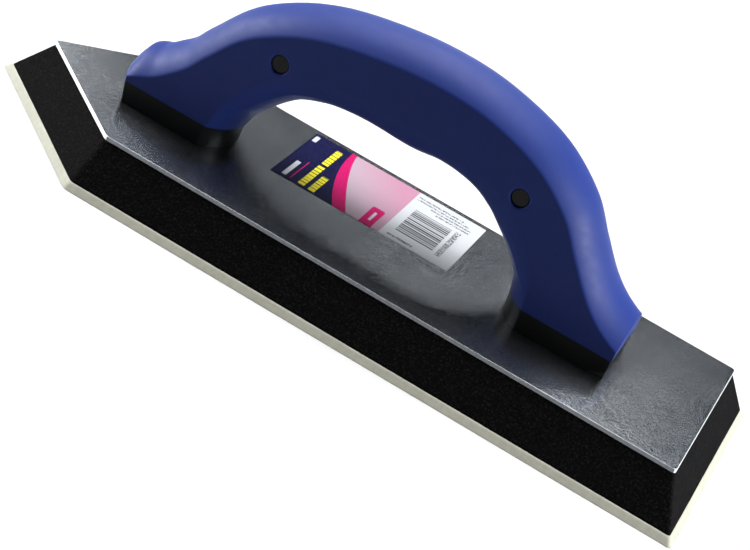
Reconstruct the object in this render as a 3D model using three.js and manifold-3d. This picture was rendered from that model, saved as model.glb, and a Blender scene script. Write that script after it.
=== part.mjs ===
// Pointed grout float: a rubber face on a flared sponge block, glued under a thin
// metal plate, with an arched two-material handle screwed on from below the plate.
// Millimetres. +X runs from the point to the square heel, +Z is up. The origin is on
// the floor, in the middle of the footprint.
import * as THREE from 'three';
import { mergeVertices } from 'three/addons/utils/BufferGeometryUtils.js';
import { ConvexGeometry } from 'three/addons/geometries/ConvexGeometry.js';
import Module from 'manifold-3d';

// Backing plate
const PLATE_LENGTH = 251.4;
const PLATE_WIDTH = 75;
const POINT_LENGTH = 43;
const PLATE_THICKNESS = 1.6;
const HEEL_X = 128;
const CORNER_SETBACK = 1.3;

// Sponge block and rubber face, both wider towards the floor
const FOAM_HEIGHT = 15;
const FOAM_FLARE = 8.3;
const RUBBER_THICKNESS = 2.6;
const RUBBER_FLARE = 1.95;

// Label
const LABEL_LENGTH = 67.8;
const LABEL_WIDTH = 38.2;
const LABEL_THICKNESS = 0.2;
const LABEL_CENTRE = [-1.6, 15.7];

// Handle
const HANDLE_WIDTH = 27.5;
const CROWN_RADIUS = 15.75;
const HANDLE_END_X = 93.6;
const FOOT_HEIGHT = 7.5;
const GRIP_WALL = 3.5;
const GAP = 0.3;
const SIDE_HOLE_RADIUS = 3.1;
const SIDE_HOLE_DEPTH = 0.5;
const SIDE_HOLES = [[-42.8, 40.4], [44.9, 41.3]];
const FOOT_WALL = 3;
const FOOT_POCKET_DEPTH = 5;

// Screws up through the plate into the feet
const SCREW_X = [-79, -62, 64, 83];
const SCREW_LENGTH = 15;
const SCREW_HEAD_RADIUS = 3.3;
const SCREW_RADIUS = 1.9;
const SCREW_CORE_RADIUS = 1.35;
const THREAD_PITCH = 1.6;
const SCREW_BOSS_RADIUS = 4.6;

const RUBBER_TOP = RUBBER_THICKNESS;
const FOAM_TOP = RUBBER_TOP + FOAM_HEIGHT;
const PLATE_TOP = FOAM_TOP + PLATE_THICKNESS;

const wasm = await Module();
wasm.setup();

// A closed geometry as a solid that can be joined and cut.
function solid(geometry) {
  const bare = geometry.clone();
  bare.deleteAttribute('normal');
  bare.deleteAttribute('uv');
  const merged = mergeVertices(bare, 1e-4);
  const corners = merged.index.array;
  const kept = [];
  for (let i = 0; i < corners.length; i += 3) {
    const [a, b, c] = [corners[i], corners[i + 1], corners[i + 2]];
    if (a !== b && b !== c && c !== a) kept.push(a, b, c);
  }
  return new wasm.Manifold(new wasm.Mesh({
    numProp: 3,
    vertProperties: merged.attributes.position.array,
    triVerts: Uint32Array.from(kept),
  }));
}

function toGeometry(piece) {
  const mesh = piece.getMesh();
  const geometry = new THREE.BufferGeometry();
  geometry.setAttribute('position', new THREE.BufferAttribute(mesh.vertProperties, 3));
  geometry.setIndex(new THREE.BufferAttribute(mesh.triVerts, 1));
  geometry.computeVertexNormals();
  return geometry;
}

function box(low, high) {
  const size = high.map((value, axis) => value - low[axis]);
  const middle = high.map((value, axis) => (value + low[axis]) / 2);
  return solid(new THREE.BoxGeometry(...size).translate(...middle));
}

// A cylinder lying along Y, through both sides of the handle.
function crossPin(radius, length, x, z) {
  return solid(new THREE.CylinderGeometry(radius, radius, length, 24).translate(x, 0, z));
}

// An upright cylinder from one height to another.
function post(radius, x, low, high) {
  const geometry = new THREE.CylinderGeometry(radius, radius, high - low, 24);
  return solid(geometry.rotateX(Math.PI / 2).translate(x, 0, (low + high) / 2));
}

// The pad outline: a rectangle with one end drawn out to a point, grown sideways by
// the given amount, its corners slightly eased.
function padShape(grow) {
  const half = PLATE_WIDTH / 2;
  const slope = Math.atan2(half, POINT_LENGTH);
  const heel = HEEL_X + grow;
  const tip = HEEL_X - PLATE_LENGTH - grow / Math.sin(slope);
  const shoulder = HEEL_X - PLATE_LENGTH + POINT_LENGTH - grow * Math.tan(slope / 2);
  const side = half + grow;
  const corners = [
    new THREE.Vector2(heel, -side),
    new THREE.Vector2(heel, side),
    new THREE.Vector2(shoulder, side),
    new THREE.Vector2(tip, 0),
    new THREE.Vector2(shoulder, -side),
  ];
  const shape = new THREE.Shape();
  corners.forEach((corner, i) => {
    const before = corners[(i + 4) % 5].clone().sub(corner).setLength(CORNER_SETBACK).add(corner);
    const after = corners[(i + 1) % 5].clone().sub(corner).setLength(CORNER_SETBACK).add(corner);
    if (i === 0) shape.moveTo(before.x, before.y);
    else shape.lineTo(before.x, before.y);
    shape.quadraticCurveTo(corner.x, corner.y, after.x, after.y);
  });
  shape.closePath();
  return shape;
}

// A slab whose sides slope from one outline at its underside to another at its top.
function slopedSlab(lowGrow, highGrow, low, high) {
  const points = [];
  for (const point of padShape(lowGrow).getPoints(4)) {
    points.push(new THREE.Vector3(point.x, point.y, low));
  }
  for (const point of padShape(highGrow).getPoints(4)) {
    points.push(new THREE.Vector3(point.x, point.y, high));
  }
  return new ConvexGeometry(points);
}

// The flat side of the handle, seen from the side: X along the float, the height above
// the plate, and how full the rounding beside that point is. The crest runs from the
// nose over the top to the heel end, and the palm comes back under the grip. Both run
// on below the plate, and the crest runs past the square heel end, where it is cut.
const CREST = [
  [-88.8, -12, 0.4], [-88.9, 0, 0.4], [-89.9, 8.3, 0.36], [-88.9, 9.7, 0.64],
  [-86, 11.3, 0.94], [-81.5, 13.7, 0.91], [-77.6, 16.8, 0.91], [-71.5, 22.8, 0.87],
  [-66.1, 30.4, 0.87], [-54.7, 43.5, 0.88], [-34.9, 54.1, 0.88], [-9.4, 59.5, 0.88],
  [12, 60.8, 0.82], [29.6, 58.8, 0.72], [46.6, 53, 0.74], [60.2, 43.2, 0.78],
  [68.8, 32.7, 0.76], [77.2, 22.6, 0.76], [85, 15.7, 0.82], [94, 11, 0.85], [104, 8, 0.85],
];
const PALM = [
  [61.4, -12], [61.4, 3], [59.6, 14.2], [56.1, 20.5], [51.3, 26], [45.6, 31.1],
  [40, 35.6], [32.6, 39.6], [24, 41.8], [15, 42.4], [5, 41.3], [-9.4, 41.7],
  [-19.4, 41.1], [-27.7, 39.5], [-37.4, 35.7], [-44, 30.6], [-49.8, 24.2],
  [-55.1, 16.9], [-58.8, 7], [-59.2, -2], [-59.2, -12],
];

function throughPoints(points, count) {
  const vectors = points.map(([x, height, fullness = 1]) => new THREE.Vector3(x, height, fullness));
  return new THREE.CatmullRomCurve3(vectors, false, 'catmullrom').getPoints(count);
}

const rim = [...throughPoints(CREST, 46), ...throughPoints(PALM, 40)];
const sideShape = new THREE.Shape(rim.map((point) => new THREE.Vector2(point.x, point.y)));

// The outward direction at each point of the side shape, as long as its rounding is full.
const outward = rim.map((point, i) => {
  const before = rim[(i + rim.length - 1) % rim.length];
  const after = rim[(i + 1) % rim.length];
  return new THREE.Vector2(before.y - after.y, after.x - before.x).setLength(point.z);
});

function outwardAt(x, height) {
  const distances = rim.map((point) => Math.hypot(point.x - x, point.y - height));
  return outward[distances.indexOf(Math.min(...distances))];
}

// The arch of the handle with rounded crown and palm: every point of the side shape is
// pushed out by a circular arc across the width. cover is the depth below the skin.
function arch(cover) {
  const half = HANDLE_WIDTH / 2 - cover;
  const radius = CROWN_RADIUS - cover;
  const edge = Math.sqrt(CROWN_RADIUS ** 2 - (HANDLE_WIDTH / 2) ** 2);
  const geometry = new THREE.ExtrudeGeometry(sideShape, {
    depth: 2 * half, steps: 8, bevelEnabled: false,
  });
  geometry.translate(0, 0, -half);
  const position = geometry.attributes.position;
  for (let i = 0; i < position.count; i += 1) {
    const direction = outwardAt(position.getX(i), position.getY(i));
    const push = Math.sqrt(radius ** 2 - position.getZ(i) ** 2) - edge;
    position.setX(i, position.getX(i) + direction.x * push);
    position.setY(i, position.getY(i) + direction.y * push);
  }
  return solid(geometry.rotateX(Math.PI / 2).translate(0, 0, PLATE_TOP));
}

// The space above one height, in front of one distance along the float.
const above = (low, endX) => box([-110, -30, low], [endX, 30, 110]);

const skin = arch(0).intersect(above(PLATE_TOP, HANDLE_END_X));
const footTop = PLATE_TOP + FOOT_HEIGHT;
const room = above(footTop, 110);

// Soft grip sleeve: the skin above the feet, hollow for the core, with side holes.
let grip = skin.intersect(room);
grip = grip.subtract(arch(GRIP_WALL).intersect(above(PLATE_TOP, HANDLE_END_X - GRIP_WALL)));
for (const [x, height] of SIDE_HOLES) {
  grip = grip.subtract(crossPin(SIDE_HOLE_RADIUS, 40, x, PLATE_TOP + height));
}

// Hard core: both feet, the bar inside the grip, and the pins seen in the side holes.
const coreCover = GRIP_WALL + GAP;
let core = arch(coreCover).intersect(above(PLATE_TOP, HANDLE_END_X - coreCover));
core = core.add(skin.subtract(room));
for (const [x, height] of SIDE_HOLES) {
  const length = HANDLE_WIDTH - 2 * SIDE_HOLE_DEPTH;
  core = core.add(crossPin(SIDE_HOLE_RADIUS - GAP, length, x, PLATE_TOP + height));
}

// The feet are cored out from below, round a boss for each screw.
const pocketRoof = PLATE_TOP + FOOT_POCKET_DEPTH;
let pocket = arch(FOOT_WALL).intersect(box([-110, -30, 0], [HANDLE_END_X - FOOT_WALL, 30, pocketRoof]));
for (const x of SCREW_X) {
  pocket = pocket.subtract(post(SCREW_BOSS_RADIUS, x, 0, PLATE_TOP + FOOT_HEIGHT));
}
core = core.subtract(pocket);
for (const x of SCREW_X) {
  core = core.subtract(post(SCREW_RADIUS + GAP, x, 0, FOAM_TOP + SCREW_LENGTH + GAP));
}

// Backing plate with a countersunk hole for each screw.
const plateGeometry = new THREE.ExtrudeGeometry(padShape(0), {
  depth: PLATE_THICKNESS, curveSegments: 4, bevelEnabled: false,
});
let plate = solid(plateGeometry.translate(0, 0, FOAM_TOP));
for (const x of SCREW_X) {
  const sink = new THREE.CylinderGeometry(
    SCREW_RADIUS + GAP, SCREW_HEAD_RADIUS + GAP, PLATE_THICKNESS + 0.4, 24,
  );
  plate = plate.subtract(solid(sink.rotateX(Math.PI / 2).translate(x, 0, FOAM_TOP + PLATE_THICKNESS / 2)));
}

// Countersunk wood-type screw, head down, with a cross recess and a ridged shank.
function screwSolid() {
  const profile = [new THREE.Vector2(0, 0), new THREE.Vector2(SCREW_HEAD_RADIUS, 0)];
  profile.push(new THREE.Vector2(SCREW_CORE_RADIUS, PLATE_THICKNESS));
  const threadEnd = SCREW_LENGTH - 2;
  for (let z = 2.5; z < threadEnd; z += THREAD_PITCH) {
    profile.push(new THREE.Vector2(SCREW_CORE_RADIUS, z));
    profile.push(new THREE.Vector2(SCREW_RADIUS, z + THREAD_PITCH / 2));
  }
  profile.push(new THREE.Vector2(SCREW_CORE_RADIUS, threadEnd + 0.6));
  profile.push(new THREE.Vector2(0, SCREW_LENGTH));
  const body = solid(new THREE.LatheGeometry(profile, 16).rotateX(Math.PI / 2));
  return body
    .subtract(box([-1.7, -0.4, -1], [1.7, 0.4, 1.1]))
    .subtract(box([-0.4, -1.7, -1], [0.4, 1.7, 1.1]));
}

const group = new THREE.Group();

function place(name, geometry, color, roughness, metalness) {
  const material = new THREE.MeshStandardMaterial({ color, roughness, metalness });
  const mesh = new THREE.Mesh(geometry, material);
  mesh.name = name;
  group.add(mesh);
  return mesh;
}

const rubberGrow = FOAM_FLARE + RUBBER_FLARE;
place('rubber_face', slopedSlab(rubberGrow, FOAM_FLARE, 0, RUBBER_TOP), '#d8d8c8', 0.85, 0);
place('foam_core', slopedSlab(FOAM_FLARE, 0, RUBBER_TOP, FOAM_TOP), '#1b1b1d', 0.95, 0);
place('backing_plate', toGeometry(plate), '#8d9296', 0.4, 0.9);
place('handle_core', toGeometry(core), '#17181b', 0.5, 0);
place('handle_grip', toGeometry(grip), '#27357f', 0.6, 0);

const labelGeometry = new THREE.BoxGeometry(LABEL_LENGTH, LABEL_WIDTH, LABEL_THICKNESS);
const label = place('label', labelGeometry, '#e9c7dc', 0.35, 0);
label.position.set(...LABEL_CENTRE, PLATE_TOP + LABEL_THICKNESS / 2);

const screwGeometry = toGeometry(screwSolid());
SCREW_X.forEach((x, i) => {
  const screw = place(`handle_screw_${i + 1}`, screwGeometry, '#b9b7ad', 0.35, 1);
  screw.position.set(x, 0, FOAM_TOP);
});

export default group;
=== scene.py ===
"""Looks for the pointed grout float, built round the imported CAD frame. Metres, +X to the heel."""
import math
import random

import bmesh
import bpy
from mathutils import Matrix, Vector, noise


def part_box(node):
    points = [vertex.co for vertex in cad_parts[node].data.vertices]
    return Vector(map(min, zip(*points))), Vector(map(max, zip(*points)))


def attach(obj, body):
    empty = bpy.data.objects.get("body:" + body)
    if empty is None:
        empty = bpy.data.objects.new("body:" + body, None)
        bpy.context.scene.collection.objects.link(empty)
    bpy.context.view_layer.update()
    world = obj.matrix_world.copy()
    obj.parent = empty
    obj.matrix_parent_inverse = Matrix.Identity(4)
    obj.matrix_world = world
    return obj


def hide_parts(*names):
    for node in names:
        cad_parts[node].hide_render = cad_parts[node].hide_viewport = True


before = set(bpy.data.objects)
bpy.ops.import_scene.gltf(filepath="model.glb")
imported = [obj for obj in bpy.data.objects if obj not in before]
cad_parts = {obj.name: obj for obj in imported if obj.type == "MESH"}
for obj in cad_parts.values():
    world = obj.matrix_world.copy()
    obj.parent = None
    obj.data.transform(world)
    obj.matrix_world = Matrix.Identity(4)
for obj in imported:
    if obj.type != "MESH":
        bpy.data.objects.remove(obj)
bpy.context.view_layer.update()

MM = 0.001
SEED = 17
ROOT = "root"
SCREW_NUMBERS = (1, 2, 3, 4)

# Edges sharper than these angles, in degrees, stay crisp in the shading
SMOOTH_ANGLE = 30
HANDLE_SMOOTH_ANGLE = 32
PLATE_SMOOTH_ANGLE = 35

# Heights and places from the frame
PLATE_LOW, PLATE_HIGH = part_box("backing_plate")
RUBBER_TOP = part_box("rubber_face")[1][2]
FOAM_TOP = PLATE_LOW[2]
PLATE_TOP = PLATE_HIGH[2]
FOOT_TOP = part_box("handle_grip")[0][2]
HEEL_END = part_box("handle_grip")[1][0]
HEEL_X = PLATE_HIGH[0]
PLATE_HALF = PLATE_HIGH[1]
HANDLE_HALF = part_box("handle_grip")[1][1]

# Driving dimensions of the pads
PLATE_LENGTH = 251.4 * MM
POINT_LENGTH = 43 * MM
POINT_EDGE_LENGTH = 57 * MM
CORNER_SETBACK = 1.3 * MM
CORNER_STEPS = 6
OUTLINE_STEP = 2.2 * MM
EASE_SHARE = 0.3
FOAM_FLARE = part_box("foam_core")[1][1] - PLATE_HALF
RUBBER_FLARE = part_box("rubber_face")[1][1] - PLATE_HALF

# Unevenness of the cut sides
SPONGE_WAVE = 0.16 * MM
SPONGE_GRAIN = 0.09 * MM
RUBBER_WAVE = 0.10 * MM
RUBBER_MARKS = 0.05 * MM

# Countersunk screw holes through the plate
COUNTERSINK_RADIUS = 3.7 * MM
SCREW_HOLE_RADIUS = 2.2 * MM
CUT_OVERRUN = 0.2 * MM

# The label film: its rim, its top and its ripple, below the top of its box
FILM_RIM = 0.06 * MM
FILM_TOP = 0.04 * MM
FILM_RIPPLE = 0.03 * MM

# Driving dimensions of the handle
CROWN_RADIUS = 15.75 * MM
GRIP_WALL = 3.5 * MM
CORE_COVER = 3.8 * MM
SKIN_ALLOWANCE = 0.06 * MM
SIDE_HOLES = [(-42.8 * MM, 40.4 * MM), (44.9 * MM, 41.3 * MM)]
HOLE_RADIUS = 3.1 * MM
HOLE_LIP = 1.0 * MM
LIP_STEPS = 5
PIN_RADIUS = 3.04 * MM
PIN_RECESS = 1.1 * MM
PIN_EASE = 0.25 * MM

# Steps along the two profiles, and across a fillet
CREST_STEPS = 46
PALM_STEPS = 40
FILLET_STEPS = 4

# Height above the plate, in mm, from which the foot's fillet grows, and over which
FILLET_RISE_FROM = 9
FILLET_RISE_OVER = 14

# Side profile in mm: along the float, height above the plate, fullness of the rounding
CREST = [
    (-88.8, -12, 0.4), (-88.9, 0, 0.4), (-89.9, 8.3, 0.36), (-88.9, 9.7, 0.64),
    (-86, 11.3, 0.94), (-81.5, 13.7, 0.91), (-77.6, 16.8, 0.91), (-71.5, 22.8, 0.87),
    (-66.1, 30.4, 0.87), (-54.7, 43.5, 0.88), (-34.9, 54.1, 0.88), (-9.4, 59.5, 0.88),
    (12, 60.8, 0.82), (29.6, 58.8, 0.72), (46.6, 53, 0.74), (60.2, 43.2, 0.78),
    (68.8, 32.7, 0.76), (77.2, 22.6, 0.76), (85, 15.7, 0.82), (94, 11, 0.85), (104, 8, 0.85),
]
PALM = [
    (61.4, -12, 1), (61.4, 3, 1), (59.6, 14.2, 1), (56.1, 20.5, 1), (51.3, 26, 1), (45.6, 31.1, 1),
    (40, 35.6, 1), (32.6, 39.6, 1), (24, 41.8, 1), (15, 42.4, 1), (5, 41.3, 1), (-9.4, 41.7, 1),
    (-19.4, 41.1, 1), (-27.7, 39.5, 1), (-37.4, 35.7, 1), (-44, 30.6, 1), (-49.8, 24.2, 1),
    (-55.1, 16.9, 1), (-58.8, 7, 1), (-59.2, -2, 1), (-59.2, -12, 1),
]


# ---------------------------------------------------------------- mesh helpers

def piece_from(name, verts, faces):
    mesh = bpy.data.meshes.new(name)
    mesh.from_pydata(verts, [], faces)
    mesh.validate()
    obj = bpy.data.objects.new(name, mesh)
    bpy.context.scene.collection.objects.link(obj)
    shade(obj, SMOOTH_ANGLE)
    return obj


def shade(obj, smooth_angle):
    """Smooth shading, with edges sharper than the angle left crisp."""
    mesh = obj.data
    bm = bmesh.new()
    bm.from_mesh(mesh)
    bmesh.ops.recalc_face_normals(bm, faces=bm.faces)
    limit = math.radians(smooth_angle)
    for face in bm.faces:
        face.smooth = True
    for edge in bm.edges:
        edge.smooth = not (edge.is_manifold and edge.calc_face_angle(0) > limit)
    bm.to_mesh(mesh)
    bm.free()


def keep_flats_flat(obj):
    """Lets the large faces decide the smooth shading, so that flat sides shade flat."""
    modifier = obj.modifiers.new("flat_sides", "WEIGHTED_NORMAL")
    modifier.keep_sharp = True
    modifier.weight = 100


def boolean(obj, other, operation):
    """Joins or cuts obj with other, applies it and removes other."""
    modifier = obj.modifiers.new("cut", "BOOLEAN")
    modifier.operation = operation
    modifier.solver = "EXACT"
    modifier.object = other
    depsgraph = bpy.context.evaluated_depsgraph_get()
    mesh = bpy.data.meshes.new_from_object(obj.evaluated_get(depsgraph))
    obj.modifiers.clear()
    obj.data = mesh
    bpy.data.objects.remove(other)


def lathe_along_y(name, profile, x, z, segments=48):
    """A closed solid of revolution about a line along Y; profile is (radius, y) from end to end."""
    verts = []
    for radius, y in profile:
        for k in range(segments):
            turn = 2 * math.pi * k / segments
            verts.append((x + radius * math.cos(turn), y, z + radius * math.sin(turn)))
    faces = [tuple(range(segments)), tuple(range(len(verts) - segments, len(verts)))]
    for row in range(len(profile) - 1):
        for k in range(segments):
            a, b = row * segments + k, row * segments + (k + 1) % segments
            faces.append((a, b, b + segments, a + segments))
    return piece_from(name, verts, faces)


# ---------------------------------------------------------------- the pads

def pad_outline(grow):
    """Points round the five-cornered pad, grown sideways; the same count for every grow."""
    slope = math.atan2(PLATE_HALF, POINT_LENGTH)
    tip = HEEL_X - PLATE_LENGTH - grow / math.sin(slope)
    shoulder = HEEL_X - PLATE_LENGTH + POINT_LENGTH - grow * math.tan(slope / 2)
    heel, side = HEEL_X + grow, PLATE_HALF + grow
    outline = ((heel, -side), (heel, side), (shoulder, side), (tip, 0), (shoulder, -side))
    corners = [Vector(corner) for corner in outline]
    long_side = PLATE_LENGTH - POINT_LENGTH
    lengths = (2 * PLATE_HALF, long_side, POINT_EDGE_LENGTH, POINT_EDGE_LENGTH, long_side)
    points = []
    for i, corner in enumerate(corners):
        before = corner + (corners[i - 1] - corner).normalized() * CORNER_SETBACK
        after = corner + (corners[(i + 1) % 5] - corner).normalized() * CORNER_SETBACK
        following = corners[(i + 1) % 5]
        arrive = following + (corner - following).normalized() * CORNER_SETBACK
        for k in range(CORNER_STEPS + 1):
            t = k / CORNER_STEPS
            points.append(before * (1 - t) ** 2 + corner * 2 * t * (1 - t) + after * t * t)
        count = int(lengths[i] / OUTLINE_STEP)
        points += [after.lerp(arrive, k / count) for k in range(1, count)]
    return points


def slab(name, levels, rough=None):
    """A closed pad through (height, grow) levels; rough(point) sets the side in a little."""
    verts, faces = [], []
    rings = [pad_outline(grow) for _, grow in levels]
    count = len(rings[0])
    for (z, _), ring in zip(levels, rings):
        for k, point in enumerate(ring):
            direction = ring[(k + 1) % count] - ring[k - 1]
            outward = Vector((direction.y, -direction.x)).normalized()
            depth = rough(Vector((point.x, point.y, z))) if rough else 0
            verts.append((point.x - outward.x * depth, point.y - outward.y * depth, z))
    for row in range(len(levels) - 1):
        for k in range(count):
            a, b = row * count + k, row * count + (k + 1) % count
            faces.append((a, b, b + count, a + count))
    faces.append(tuple(reversed(range(count))))
    faces.append(tuple(range(len(verts) - count, len(verts))))
    return piece_from(name, verts, faces)


def sloped_levels(z_low, z_high, grow_low, grow_high, edge, rows):
    """Levels of a sloped side with its top and bottom edges eased by about edge."""
    def grow(z):
        return grow_low + (grow_high - grow_low) * (z - z_low) / (z_high - z_low)
    share = EASE_SHARE * edge
    levels = [(z_low, grow_low - edge), (z_low + share, grow_low - share)]
    for k in range(rows + 1):
        z = z_low + edge + (z_high - z_low - 2 * edge) * k / rows
        levels.append((z, grow(z)))
    levels += [(z_high - share, grow(z_high - share) - share), (z_high, grow_high - edge)]
    return levels


def uneven(depth, place):
    """Between nothing and about depth, varying smoothly from place to place."""
    return depth * (0.5 + 0.5 * noise.noise(place))


def sponge_cut(point):
    """The cut sponge side: a shallow wave from the knife and a fine open grain."""
    wave = uneven(SPONGE_WAVE, point * 30 + Vector((3, 1, 7)))
    return wave + uneven(SPONGE_GRAIN, point * 700)


def rubber_cut(point):
    """The trimmed rubber edge: slight waviness and fine knife marks."""
    wave = uneven(RUBBER_WAVE, point * 25 + Vector((9, 2, 4)))
    return wave + uneven(RUBBER_MARKS, Vector((point.x * 500, point.y * 500, 1)))


rubber_face = slab(
    "rubber_face_sheet",
    sloped_levels(0, RUBBER_TOP, RUBBER_FLARE, FOAM_FLARE + 0.12 * MM, 0.3 * MM, 5),
    rubber_cut,
)
foam_core = slab(
    "foam_core_block",
    sloped_levels(RUBBER_TOP, FOAM_TOP, FOAM_FLARE, 0, 0.25 * MM, 18),
    sponge_cut,
)
plate_levels = [
    (FOAM_TOP, -0.20 * MM), (FOAM_TOP + 0.06 * MM, -0.06 * MM), (FOAM_TOP + 0.18 * MM, 0),
    (PLATE_TOP - 0.16 * MM, 0), (PLATE_TOP - 0.06 * MM, -0.03 * MM), (PLATE_TOP, -0.16 * MM),
]
backing_plate = slab("backing_plate_sheet", plate_levels)


# Turns what is lathed along Y upright
UPRIGHT = Matrix(((1, 0, 0, 0), (0, 0, -1, 0), (0, 1, 0, 0), (0, 0, 0, 1)))


def countersink(x):
    """The screw hole through the plate, wide at its underside."""
    profile = [
        (COUNTERSINK_RADIUS, FOAM_TOP - CUT_OVERRUN), (SCREW_HOLE_RADIUS, PLATE_TOP + CUT_OVERRUN),
    ]
    cutter = lathe_along_y("countersink", profile, 0, 0)
    cutter.data.transform(Matrix.Translation((x, 0, 0)) @ UPRIGHT)
    return cutter


for number in SCREW_NUMBERS:
    low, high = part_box(f"handle_screw_{number}")
    boolean(backing_plate, countersink((low[0] + high[0]) / 2), "DIFFERENCE")
shade(backing_plate, PLATE_SMOOTH_ANGLE)


# ---------------------------------------------------------------- the label

label_low, label_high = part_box("label")


def film(name, low, high, columns=40, rows=24):
    """A thin printed film: gridded top with its rim pressed down on to the plate."""
    verts, faces = [], []
    for j in range(rows + 1):
        for i in range(columns + 1):
            x = low[0] + (high[0] - low[0]) * i / columns
            y = low[1] + (high[1] - low[1]) * j / rows
            ripple = FILM_RIPPLE * noise.noise(Vector((x * 90, y * 90, 5)))
            rim = i in (0, columns) or j in (0, rows)
            verts.append((x, y, high[2] - (FILM_RIM if rim else FILM_TOP - ripple)))
    width = columns + 1
    for j in range(rows):
        for i in range(columns):
            a = j * width + i
            faces.append((a, a + 1, a + width + 1, a + width))
    rim_loop = list(range(columns))
    rim_loop += [columns + j * width for j in range(rows)]
    rim_loop += [rows * width + columns - i for i in range(columns)]
    rim_loop += [(rows - j) * width for j in range(rows)]
    start = len(verts)
    verts += [(verts[k][0], verts[k][1], low[2]) for k in rim_loop]
    count = len(rim_loop)
    for k in range(count):
        following = (k + 1) % count
        faces.append((rim_loop[following], rim_loop[k], start + k, start + following))
    faces.append(tuple(start + k for k in reversed(range(count))))
    return piece_from(name, verts, faces)


label = film("label_film", label_low, label_high)


# ---------------------------------------------------------------- the handle

def through_points(points, count):
    """A Catmull-Rom curve through the points, at even parameter steps."""
    points = [Vector(p) for p in points]
    points = [2 * points[0] - points[1], *points, 2 * points[-1] - points[-2]]
    curve = []
    for n in range(count + 1):
        place = (len(points) - 3) * n / count
        k = min(int(place), len(points) - 4)
        t = place - k
        a, b, c, d = points[k:k + 4]
        v0, v1 = (c - a) / 2, (d - b) / 2
        cubic, square = 2 * b - 2 * c + v0 + v1, 3 * c - 3 * b - 2 * v0 - v1
        curve.append(cubic * t ** 3 + square * t ** 2 + v0 * t + b)
    return curve


def arch(name, cover, samples, crown_rows, crest_fillet, palm_fillet, foot_fillet):
    """The whole handle arch, with its feet run on below the plate, cover below the outer skin.

    Its flat sides meet the rounding in a fillet, tight at the feet and on the crest."""
    half, radius = HANDLE_HALF - cover, CROWN_RADIUS - cover
    edge = math.sqrt(CROWN_RADIUS ** 2 - HANDLE_HALF ** 2)
    crest = through_points(CREST, CREST_STEPS * samples)
    rim = crest + through_points(PALM, PALM_STEPS * samples)
    rows = 2 * crown_rows + 1
    verts, faces = [], []
    for i, point in enumerate(rim):
        along = rim[(i + 1) % len(rim)] - rim[i - 1]
        outward = Vector((-along.y, along.x)).normalized()
        fillet = crest_fillet if i < len(crest) else palm_fillet
        rise = min(max((point.y - FILLET_RISE_FROM) / FILLET_RISE_OVER, 0), 1)
        fillet = foot_fillet + (fillet - foot_fillet) * rise * rise * (3 - 2 * rise)
        inner = half - fillet
        start = point.z * (math.sqrt(radius ** 2 - inner ** 2) - edge)
        corner = point.z * (math.sqrt(radius ** 2 - half ** 2) - edge)
        section = []
        for k in range(FILLET_STEPS):
            t = k / FILLET_STEPS
            push = (corner - fillet) * (1 - t) ** 2 + corner * 2 * t * (1 - t) + start * t * t
            across = half * (1 - t) ** 2 + half * 2 * t * (1 - t) + inner * t * t
            section.append((push, across))
        for k in range(rows):
            across = inner * math.cos(math.pi * k / (rows - 1))
            section.append((point.z * (math.sqrt(radius ** 2 - across ** 2) - edge), across))
        section += [(push, -across) for push, across in reversed(section[:FILLET_STEPS])]
        for push, across in section:
            x = point.x * MM + outward.x * push
            z = point.y * MM + outward.y * push + PLATE_TOP
            verts.append((x, -across, z))
    width = len(section)
    for i in range(len(rim)):
        for k in range(width - 1):
            a, b = i * width + k, ((i + 1) % len(rim)) * width + k
            faces.append((a, a + 1, b + 1, b))
    faces.append(tuple(i * width for i in range(len(rim))))
    faces.append(tuple(i * width + width - 1 for i in reversed(range(len(rim)))))
    return piece_from(name, verts, faces)


def clip(obj, point, normal, ease=0.0):
    """Cuts away what lies on the normal's side, closes the cut and eases its edge."""
    bm = bmesh.new()
    bm.from_mesh(obj.data)
    cut = bmesh.ops.bisect_plane(
        bm, geom=[*bm.verts, *bm.edges, *bm.faces], plane_co=point, plane_no=normal,
        clear_outer=True, dist=1e-7,
    )
    edges = [e for e in cut["geom_cut"] if isinstance(e, bmesh.types.BMEdge)]
    caps = bmesh.ops.holes_fill(bm, edges=edges, sides=0)["faces"]
    if ease:
        rim = list({e for face in caps for e in face.edges})
        bmesh.ops.bevel(bm, geom=rim, offset=ease, segments=2, affect="EDGES", clamp_overlap=True)
    bm.to_mesh(obj.data)
    bm.free()
    shade(obj, SMOOTH_ANGLE)


def side_hole_cutter(x, height):
    """A round hole through the handle with softly rounded lips."""
    straight = HANDLE_HALF - SKIN_ALLOWANCE - HOLE_LIP
    half_profile = [(HOLE_RADIUS, straight)]
    for k in range(1, LIP_STEPS + 1):
        depth = HOLE_LIP * k / LIP_STEPS
        flare = HOLE_LIP - math.sqrt(HOLE_LIP ** 2 - depth ** 2)
        half_profile.append((HOLE_RADIUS + flare, straight + depth))
    beyond = 3 * HOLE_LIP
    half_profile.append((HOLE_RADIUS + beyond, straight + beyond))
    profile = [(r, -y) for r, y in reversed(half_profile)] + half_profile
    return lathe_along_y("side_hole", profile, x, PLATE_TOP + height)


def hidden_arch(name, cover):
    """A coarser arch for what is cut out of or joined inside the handle."""
    return arch(name, cover, samples=1, crown_rows=4,
                crest_fillet=0.5 * MM, palm_fillet=0.5 * MM, foot_fillet=0.5 * MM)


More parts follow.
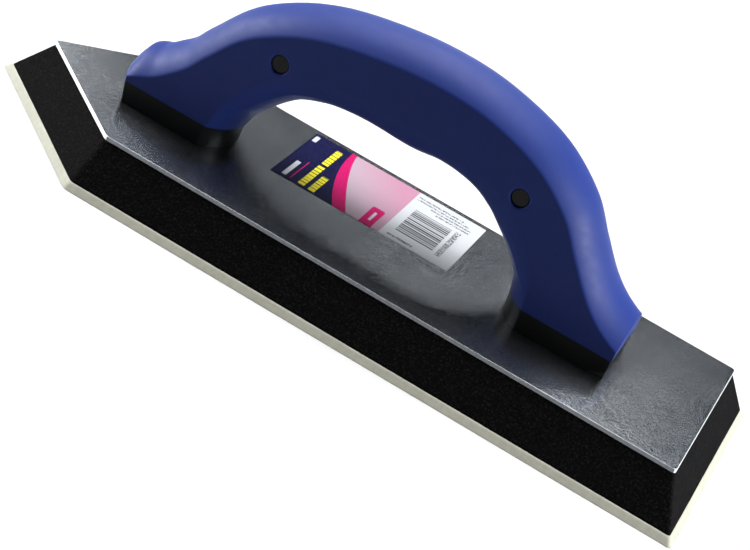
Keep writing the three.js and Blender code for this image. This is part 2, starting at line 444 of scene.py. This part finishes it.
handle_grip = arch("handle_grip_sleeve", SKIN_ALLOWANCE, samples=5, crown_rows=13,
                   crest_fillet=0.45 * MM, palm_fillet=3.2 * MM, foot_fillet=0.3 * MM)
clip(handle_grip, (HEEL_END, 0, 0), (1, 0, 0), 0.5 * MM)
clip(handle_grip, (0, 0, FOOT_TOP), (0, 0, -1), 0.25 * MM)
cavity = hidden_arch("grip_cavity", GRIP_WALL)
clip(cavity, (HEEL_END - GRIP_WALL, 0, 0), (1, 0, 0))
clip(cavity, (0, 0, PLATE_TOP), (0, 0, -1))
boolean(handle_grip, cavity, "DIFFERENCE")
for x, height in SIDE_HOLES:
    boolean(handle_grip, side_hole_cutter(x, height), "DIFFERENCE")
shade(handle_grip, HANDLE_SMOOTH_ANGLE)

handle_core = arch("handle_core_moulding", 0.12 * MM, samples=4, crown_rows=9,
                   crest_fillet=0.25 * MM, palm_fillet=0.25 * MM, foot_fillet=0.25 * MM)
clip(handle_core, (HEEL_END - 0.1 * MM, 0, 0), (1, 0, 0), 0.4 * MM)
clip(handle_core, (0, 0, FOOT_TOP), (0, 0, 1), 0.18 * MM)
clip(handle_core, (0, 0, PLATE_TOP), (0, 0, -1), 0.12 * MM)
bar = hidden_arch("core_bar", CORE_COVER)
clip(bar, (HEEL_END - CORE_COVER, 0, 0), (1, 0, 0))
clip(bar, (0, 0, FOOT_TOP - 1 * MM), (0, 0, -1))
boolean(handle_core, bar, "UNION")
for x, height in SIDE_HOLES:
    end = HANDLE_HALF - PIN_RECESS
    profile = [
        (PIN_RADIUS - PIN_EASE, -end), (PIN_RADIUS, -end + PIN_EASE),
        (PIN_RADIUS, end - PIN_EASE), (PIN_RADIUS - PIN_EASE, end),
    ]
    boolean(handle_core, lathe_along_y("core_pin", profile, x, PLATE_TOP + height), "UNION")
shade(handle_core, HANDLE_SMOOTH_ANGLE)
for piece in (handle_grip, handle_core, backing_plate):
    keep_flats_flat(piece)


# ---------------------------------------------------------------- materials

class Paint:
    """A Principled material with short calls for its nodes; coordinates are object metres."""

    def __init__(self, name):
        self.material = bpy.data.materials.new(name)
        self.material.use_nodes = True
        self.tree = self.material.node_tree
        self.tree.nodes.clear()
        output = self.node("OutputMaterial")
        self.bsdf = self.node("BsdfPrincipled")
        self.link(self.bsdf.outputs["BSDF"], output.inputs["Surface"])
        self.place = self.node("TexCoord").outputs["Object"]

    def node(self, kind, **settings):
        node = self.tree.nodes.new("ShaderNode" + kind)
        for key, value in settings.items():
            setattr(node, key, value)
        return node

    def link(self, source, target):
        self.tree.links.new(source, target)

    def put(self, value, socket):
        if isinstance(value, bpy.types.NodeSocket):
            self.link(value, socket)
        else:
            socket.default_value = value

    def set(self, **values):
        """Constants and links on the shader's own sockets."""
        for key, value in values.items():
            self.put(value, self.bsdf.inputs[key.replace("_", " ")])

    def math(self, operation, a, b=0.0):
        node = self.node("Math", operation=operation)
        self.put(a, node.inputs[0])
        self.put(b, node.inputs[1])
        return node.outputs[0]

    def stretched(self, x, y, z):
        node = self.node("Mapping")
        self.link(self.place, node.inputs["Vector"])
        node.inputs["Scale"].default_value = (x, y, z)
        return node.outputs[0]

    def noise(self, scale, detail=4.0, roughness=0.55, vector=None, distortion=0.0):
        node = self.node("TexNoise")
        self.link(vector or self.place, node.inputs["Vector"])
        node.inputs["Scale"].default_value = scale
        node.inputs["Detail"].default_value = detail
        node.inputs["Roughness"].default_value = roughness
        node.inputs["Distortion"].default_value = distortion
        return node.outputs["Fac"]

    def cells(self, scale):
        node = self.node("TexVoronoi")
        self.link(self.place, node.inputs["Vector"])
        node.inputs["Scale"].default_value = scale
        return node.outputs["Distance"]

    def remap(self, value, low, high, to_low, to_high):
        node = self.node("MapRange")
        self.put(value, node.inputs["Value"])
        sockets = ("From Min", "From Max", "To Min", "To Max")
        for socket, number in zip(sockets, (low, high, to_low, to_high)):
            node.inputs[socket].default_value = number
        return node.outputs["Result"]

    def mix(self, factor, a, b):
        node = self.node("Mix", data_type="RGBA")
        self.put(factor, node.inputs[0])
        self.put((*a, 1) if isinstance(a, tuple) else a, node.inputs[6])
        self.put((*b, 1) if isinstance(b, tuple) else b, node.inputs[7])
        return node.outputs[2]

    def bump(self, height, strength, distance, previous=None):
        node = self.node("Bump")
        node.inputs["Strength"].default_value = strength
        node.inputs["Distance"].default_value = distance
        self.link(height, node.inputs["Height"])
        if previous:
            self.link(previous, node.inputs["Normal"])
        return node.outputs["Normal"]


def grip_rubber():
    p = Paint("blue_soft_grip")
    cloud = p.noise(38, 3)
    grain = p.noise(2600, 3, 0.65)
    smear = p.noise(160, 4, 0.6, p.stretched(1, 1, 2.5))
    colour = p.mix(cloud, (0.0042, 0.0125, 0.082), (0.0060, 0.0155, 0.098))
    colour = p.mix(p.remap(grain, 0.4, 0.75, 0, 0.35), colour, (0.014, 0.028, 0.145))
    rough = p.remap(smear, 0.3, 0.7, 0.50, 0.60)
    p.set(Base_Color=colour, Roughness=rough, Specular_IOR_Level=0.12)
    p.set(Sheen_Weight=0.08, Sheen_Roughness=0.4, Sheen_Tint=(0.62, 0.72, 1.0, 1))
    normal = p.bump(cloud, 0.10, 0.0006)
    p.set(Normal=p.bump(grain, 0.30, 0.00006, normal))
    return p.material


def black_plastic():
    p = Paint("black_hard_plastic")
    cloud = p.noise(60, 3)
    grain = p.noise(2400, 3)
    scuff = p.noise(900, 5, 0.7, p.stretched(0.25, 1, 1))
    colour = p.mix(cloud, (0.0025, 0.0027, 0.0030), (0.005, 0.0053, 0.0056))
    colour = p.mix(p.remap(scuff, 0.62, 0.8, 0, 0.4), colour, (0.014, 0.0147, 0.016))
    rough = p.remap(scuff, 0.3, 0.75, 0.36, 0.46)
    p.set(Base_Color=colour, Roughness=rough, Specular_IOR_Level=0.14)
    p.set(Normal=p.bump(grain, 0.25, 0.00005))
    return p.material


def plate_metal():
    p = Paint("satin_plate")
    mottle = p.noise(1000, 3, 0.6)
    patches = p.noise(30, 4, 0.6)
    blotch = p.noise(150, 3, 0.6)
    scratches = []
    for turn, stretch in ((0.30, 30), (-0.55, 26), (1.2, 34)):
        turned = p.node("Mapping")
        p.link(p.place, turned.inputs["Vector"])
        turned.inputs["Rotation"].default_value = (0, 0, turn)
        turned.inputs["Scale"].default_value = (1, stretch, 1)
        scratches.append(p.remap(p.noise(75, 2, 0.5, turned.outputs[0], 0.25), 0.69, 0.73, 0, 1))
    lines = p.math("MAXIMUM", scratches[0], p.math("MAXIMUM", scratches[1], scratches[2]))
    dull, bright = (0.160, 0.175, 0.196), (0.268, 0.290, 0.320)
    colour = p.mix(p.remap(mottle, 0.39, 0.61, 0, 1), dull, bright)
    colour = p.mix(p.remap(patches, 0.4, 0.7, 0, 0.30), colour, (0.24, 0.235, 0.215))
    colour = p.mix(p.remap(blotch, 0.55, 0.8, 0, 0.30), colour, (0.12, 0.128, 0.15))
    colour = p.mix(p.math("MULTIPLY", lines, 0.20), colour, (0.55, 0.57, 0.60))
    # Painted shade and painted highlight: the long edges are painted dark, and the toe and heel
    # ends below the top face are painted near-white and made mostly non-metallic
    axes = p.node("SeparateXYZ")
    p.link(p.place, axes.inputs[0])
    beside_centre = p.math("ABSOLUTE", axes.outputs[1])
    shaded_long_edge = p.math("GREATER_THAN", beside_centre, PLATE_HALF - 0.15 * MM)
    below_top = p.math("LESS_THAN", axes.outputs[2], PLATE_TOP - 0.005 * MM)
    lit_cut_end = p.math("MULTIPLY", below_top, p.math("SUBTRACT", 1.0, shaded_long_edge))
    # Painted shade: the long edges are darkened
    colour = p.mix(p.math("MULTIPLY", shaded_long_edge, 0.7), colour, (0.09, 0.095, 0.10))
    # Painted highlight: the ends below the top face are painted near-white
    colour = p.mix(p.math("MULTIPLY", lit_cut_end, 0.9), colour, (0.78, 0.79, 0.80))
    rough = p.remap(p.math("ADD", patches, mottle), 0.7, 1.3, 0.21, 0.27)
    # The painted-highlight ends are made mostly non-metallic so that their white shows
    metallic = p.math("SUBTRACT", 1.0, p.math("MULTIPLY", lit_cut_end, 0.8))
    p.set(Base_Color=colour, Metallic=metallic, Roughness=rough)
    normal = p.bump(mottle, 0.14, 0.00003)
    normal = p.bump(blotch, 0.05, 0.0001, normal)
    p.set(Normal=p.bump(lines, 0.12, 0.00002, normal))
    return p.material


def sponge():
    p = Paint("black_sponge")
    cells = p.cells(1500)
    pits = p.remap(p.cells(620), 0.0, 0.28, 0, 1)
    speck = p.noise(1500, 2, 0.6)
    cloud = p.noise(26, 4)
    dust = p.noise(210, 6, 0.75)
    colour = p.mix(cloud, (0.0007, 0.0007, 0.0008), (0.0013, 0.0013, 0.0015))
    colour = p.mix(p.remap(speck, 0.50, 0.70, 0, 1), colour, (0.0065, 0.0065, 0.0072))
    colour = p.mix(p.remap(dust, 0.60, 0.8, 0, 0.5), colour, (0.009, 0.0088, 0.009))
    # Painted shade: the colour is darkened in the pits, where the bump makes hollows
    colour = p.mix(p.remap(pits, 0, 1, 0.55, 0), colour, (0.001, 0.001, 0.001))
    p.set(Base_Color=colour, Roughness=0.9, Specular_IOR_Level=0.03)
    normal = p.bump(pits, 0.5, 0.00025)
    p.set(Normal=p.bump(cells, 0.5, 0.00018, normal))
    return p.material


def gum_rubber():
    p = Paint("cream_gum_rubber")
    cloud = p.noise(45, 4)
    strokes = p.noise(520, 4, 0.65, p.stretched(1, 1, 0.12))
    fibres = p.noise(300, 3, 0.6, p.stretched(0.3, 0.3, 6))
    dirt = p.noise(120, 6, 0.75)
    colour = p.mix(cloud, (0.215, 0.215, 0.177), (0.265, 0.265, 0.222))
    colour = p.mix(p.remap(strokes, 0.35, 0.7, 0, 0.5), colour, (0.175, 0.174, 0.140))
    colour = p.mix(p.remap(dirt, 0.6, 0.82, 0, 0.4), colour, (0.10, 0.099, 0.082))
    rough = p.remap(fibres, 0.3, 0.7, 0.66, 0.84)
    p.set(Base_Color=colour, Roughness=rough, Specular_IOR_Level=0.35)
    normal = p.bump(strokes, 0.4, 0.00015)
    p.set(Normal=p.bump(fibres, 0.3, 0.0001, normal))
    return p.material


def zinc_steel():
    p = Paint("zinc_screw")
    cloud = p.noise(700, 4)
    turning = p.noise(900, 3, 0.6, p.stretched(1, 1, 6))
    colour = p.mix(cloud, (0.55, 0.53, 0.46), (0.68, 0.66, 0.60))
    p.set(Base_Color=colour, Metallic=1.0, Roughness=p.remap(turning, 0.3, 0.7, 0.28, 0.45))
    p.set(Normal=p.bump(turning, 0.2, 0.00005))
    return p.material


def label_print(low, high):
    """Plain printed panels and bars. u runs to the heel, v from the near edge to the far one."""
    p = Paint("label_print")
    navy, magenta = (0.0004, 0.0006, 0.018), (0.215, 0.001, 0.052)
    yellow = (0.35, 0.325, 0.010)
    white, grey, dark = (0.235, 0.247, 0.26), (0.055, 0.058, 0.062), (0.015, 0.015, 0.018)
    pale, pink = (0.182, 0.165, 0.187), (0.197, 0.097, 0.139)
    axes = p.node("SeparateXYZ")
    p.link(p.place, axes.inputs[0])
    u = p.remap(axes.outputs[0], low[0], high[0], 0, 1)
    v = p.remap(axes.outputs[1], low[1], high[1], 0, 1)
    dice = random.Random(SEED)

    def span(value, start, stop):
        above = p.math("GREATER_THAN", value, start)
        return p.math("MULTIPLY", above, p.math("LESS_THAN", value, stop))

    def block(u0, u1, v0, v1):
        return p.math("MULTIPLY", span(u, u0, u1), span(v, v0, v1))

    def bars(value, start, stop, thick, gap, ground, inks):
        """Ruled bars of seeded widths between start and stop."""
        ramp = p.node("ValToRGB")
        ramp.color_ramp.interpolation = "CONSTANT"
        stops, place = [(0.0, ground)], start
        while place < stop and len(stops) < 30:
            stops.append((place, dice.choice(inks)))
            place += dice.uniform(*thick)
            stops.append((place, ground))
            place += dice.uniform(*gap)
        for position, ink in stops[1:]:
            ramp.color_ramp.elements.new(position)
        for element, (position, ink) in zip(ramp.color_ramp.elements, stops):
            element.position = position
            element.color = (*ink, 1)
        p.link(value, ramp.inputs[0])
        return ramp.outputs["Color"]

    # Pale panel fading from grey-white near the band to pink
    fade = p.remap(p.math("ADD", u, p.math("MULTIPLY", v, 0.35)), 0.35, 0.85, 0, 1)
    colour = p.mix(fade, pale, pink)
    # Curved magenta band between the dark panel and the pale one
    bend = p.math("SUBTRACT", 1.0, v)
    band_start = p.math("ADD", 0.212, p.math("MULTIPLY", p.math("POWER", bend, 2.0), 0.143))
    band_stop = p.math("ADD", 0.240, p.math("MULTIPLY", p.math("POWER", bend, 1.4), 0.192))
    colour = p.mix(p.math("LESS_THAN", u, band_stop), colour, magenta)
    colour = p.mix(p.math("LESS_THAN", u, band_start), colour, navy)
    # Rows of plain blocks on the dark panel
    for u0, u1, v0, v1 in (
        (0.145, 0.181, 0.04, 0.50), (0.145, 0.181, 0.55, 0.90), (0.205, 0.241, 0.03, 0.36),
    ):
        row = bars(v, v0, v1, (0.035, 0.055), (0.010, 0.016), navy, (yellow,))
        colour = p.mix(block(u0, u1, v0, v1), colour, row)
    colour = p.mix(block(0.050, 0.074, 0.05, 0.38), colour, white)
    colour = p.mix(block(0.098, 0.103, 0.05, 0.46), colour, magenta)
    colour = p.mix(block(0.010, 0.034, 0.83, 0.95), colour, white)
    # Magenta tab running in from the near edge of the pale panel, with a plain bar on it
    colour = p.mix(block(0.502, 0.572, -0.1, 0.34), colour, magenta)
    colour = p.mix(block(0.507, 0.567, 0.33, 0.355), colour, magenta)
    colour = p.mix(block(0.531, 0.545, 0.10, 0.27), colour, white)
    # White panel with ruled bars and broken grey rows
    colour = p.mix(p.math("GREATER_THAN", u, 0.615), colour, white)
    rules = bars(v, 0.19, 0.69, (0.008, 0.028), (0.007, 0.020), white, (dark, dark, grey))
    colour = p.mix(block(0.665, 0.875, 0.19, 0.70), colour, rules)
    broken = p.math("GREATER_THAN", p.noise(1500, 1, 0.5), 0.47)
    for u0, u1, v0, v1 in (
        (0.63, 0.90, 0.900, 0.925), (0.63, 0.93, 0.850, 0.875), (0.72, 0.95, 0.800, 0.825),
        (0.76, 0.95, 0.750, 0.775), (0.895, 0.925, 0.150, 0.700),
    ):
        colour = p.mix(p.math("MULTIPLY", block(u0, u1, v0, v1), broken), colour, grey)
    colour = p.mix(p.math("MULTIPLY", block(0.650, 0.790, 0.050, 0.085), broken), colour, dark)
    speck = p.noise(1500, 2)
    colour = p.mix(p.remap(speck, 0.5, 0.9, 0, 0.12), colour, (0.2, 0.2, 0.22))
    rough = p.remap(p.noise(90, 3), 0.3, 0.7, 0.5, 0.62)
    p.set(Base_Color=colour, Roughness=rough, Specular_IOR_Level=0.03)
    p.set(Normal=p.bump(p.noise(60, 2), 0.12, 0.0004))
    return p.material


def dress(obj, material):
    obj.data.materials.clear()
    obj.data.materials.append(material)


for piece, material, slot, node in (
    (rubber_face, gum_rubber(), "gum_rubber", "rubber_face"),
    (foam_core, sponge(), "black_sponge", "foam_core"),
    (backing_plate, plate_metal(), "plate_metal", "backing_plate"),
    (label, label_print(label_low, label_high), "label_print", "label"),
    (handle_core, black_plastic(), "black_plastic", "handle_core"),
    (handle_grip, grip_rubber(), "blue_grip", "handle_grip"),
):
    dress(piece, material)
    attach(piece, ROOT)
    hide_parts(node)

zinc = zinc_steel()
for number in SCREW_NUMBERS:
    dress(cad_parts[f"handle_screw_{number}"], zinc)


# ---------------------------------------------------------------- floor, light and camera

def floor_material():
    p = Paint("studio_floor")
    cloud = p.noise(1.5, 3)
    p.set(Base_Color=p.mix(cloud, (0.31, 0.31, 0.313), (0.33, 0.33, 0.332)), Roughness=0.9)
    p.set(Specular_IOR_Level=0.1)
    return p.material


FLOOR_HALF = 6.0
floor_corners = [
    (-FLOOR_HALF, -FLOOR_HALF, 0), (FLOOR_HALF, -FLOOR_HALF, 0),
    (FLOOR_HALF, FLOOR_HALF, 0), (-FLOOR_HALF, FLOOR_HALF, 0),
]
floor = piece_from("floor", floor_corners, [(0, 1, 2, 3)])
dress(floor, floor_material())


def softbox(name, place, target, size, power):
    """An area light at place, turned to the target; size in metres, power in watts."""
    data = bpy.data.lights.new(name, "AREA")
    data.shape = "RECTANGLE"
    data.size, data.size_y = size
    data.energy = power
    obj = bpy.data.objects.new(name, data)
    bpy.context.scene.collection.objects.link(obj)
    obj.location = place
    obj.rotation_euler = (Vector(target) - Vector(place)).to_track_quat("-Z", "Y").to_euler()


softbox("key_above", (-0.10, 0.22, 0.74), (0, 0.03, 0.03), (0.6, 0.5), 14.5)
softbox("plate_sheen", (-0.22, 0.78, 0.87), (0, 0, 0.02), (0.9, 0.11), 4.2)
softbox("back_left", (-0.80, 1.05, 0.62), (-0.05, 0, 0.05), (0.45, 0.35), 1.0)
softbox("toe_side", (-0.95, 0.05, 0.38), (-0.05, 0, 0.02), (0.36, 0.5), 25.0)
softbox("heel_side", (1.00, 0.03, 0.38), (0.1, 0, 0.02), (0.34, 0.5), 32.0)

WORLD_COLOUR = (0.93, 0.96, 1.0, 1)
WORLD_STRENGTH = 0.035
world = bpy.data.worlds.new("studio")
world.use_nodes = True
background = world.node_tree.nodes["Background"]
background.inputs["Color"].default_value = WORLD_COLOUR
background.inputs["Strength"].default_value = WORLD_STRENGTH
bpy.context.scene.world = world
bpy.context.scene.view_settings.view_transform = "Standard"

CAMERA_PLACE = (0.1279, -0.5797, 0.3481)
CAMERA_RIGHT = Vector((0.8504, 0.3854, 0.3581)).normalized()
CAMERA_FORWARD = Vector((-0.1712, 0.8463, -0.5044)).normalized()
CAMERA_LENS = 99.16
CAMERA_SENSOR = 36
CAMERA_CLIP_START = 0.01
camera_up = CAMERA_RIGHT.cross(CAMERA_FORWARD)
camera_data = bpy.data.cameras.new("camera")
camera_data.lens = CAMERA_LENS
camera_data.sensor_width = CAMERA_SENSOR
camera_data.clip_start = CAMERA_CLIP_START
camera = bpy.data.objects.new("camera", camera_data)
bpy.context.scene.collection.objects.link(camera)
camera_axes = Matrix((CAMERA_RIGHT, camera_up, -CAMERA_FORWARD)).transposed()
camera.matrix_world = Matrix.Translation(CAMERA_PLACE) @ camera_axes.to_4x4()
bpy.context.scene.camera = camera
